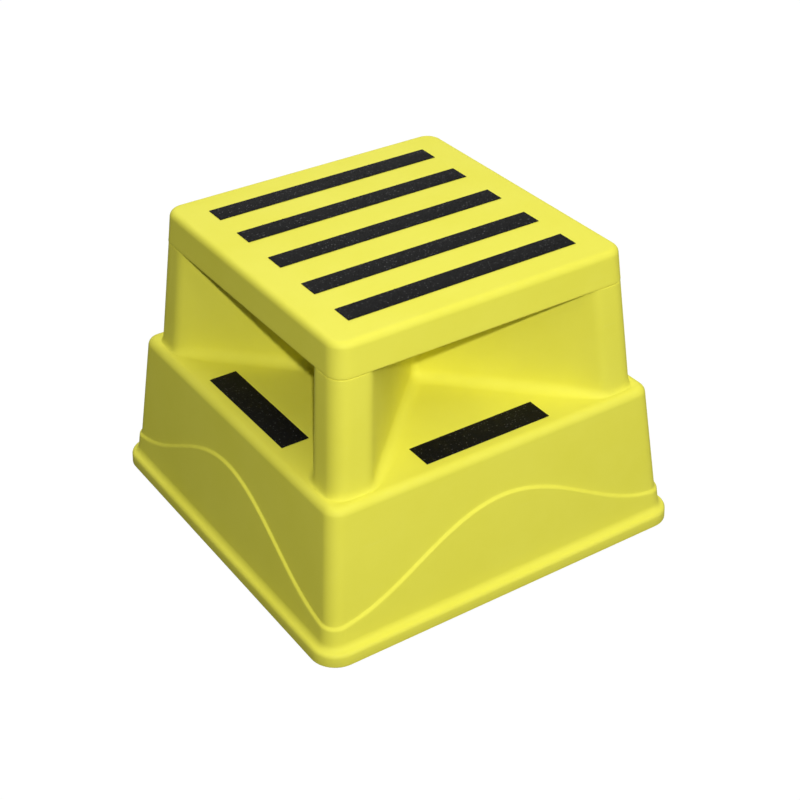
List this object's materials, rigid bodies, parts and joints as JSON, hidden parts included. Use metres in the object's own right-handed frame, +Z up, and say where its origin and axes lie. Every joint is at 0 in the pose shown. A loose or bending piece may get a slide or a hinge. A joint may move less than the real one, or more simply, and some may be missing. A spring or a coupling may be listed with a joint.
{
  "type": "step stool",
  "caption": "Square plastic safety step with a flared hollow base, a tread and toe niche on each side, and a raised platform with grit strips.",
  "frame": {"origin": "middle of the footprint, on the floor under the rubber feet", "axes": "+Z is up; the platform's grit strips run along X; -Y is the front"},
  "size_m": [0.452, 0.452, 0.3316],
  "materials": {
    "base_plastic": "satin safety-yellow moulding with a very fine texture",
    "platform_plastic": "satin safety-yellow moulding with a very fine texture",
    "grit_strip": "black mineral grit on a self-adhesive film",
    "screw_steel": "zinc plated",
    "foot_rubber": "matt black moulded rubber"
  },
  "bodies": {
    "root": {"base_body": "base_plastic", "platform": "platform_plastic", "platform_grip_1": "grit_strip", "platform_grip_2": "grit_strip", "platform_grip_3": "grit_strip", "platform_grip_4": "grit_strip", "platform_grip_5": "grit_strip", "tread_grip_front": "grit_strip", "tread_grip_right": "grit_strip", "tread_grip_back": "grit_strip", "tread_grip_left": "grit_strip", "platform_screw_1": "screw_steel", "platform_screw_2": "screw_steel", "platform_screw_3": "screw_steel", "platform_screw_4": "screw_steel", "platform_washer_1": "screw_steel", "platform_washer_2": "screw_steel", "platform_washer_3": "screw_steel", "platform_washer_4": "screw_steel", "foot_1": "foot_rubber", "foot_2": "foot_rubber", "foot_3": "foot_rubber", "foot_4": "foot_rubber"}
  },
  "joints": []
}
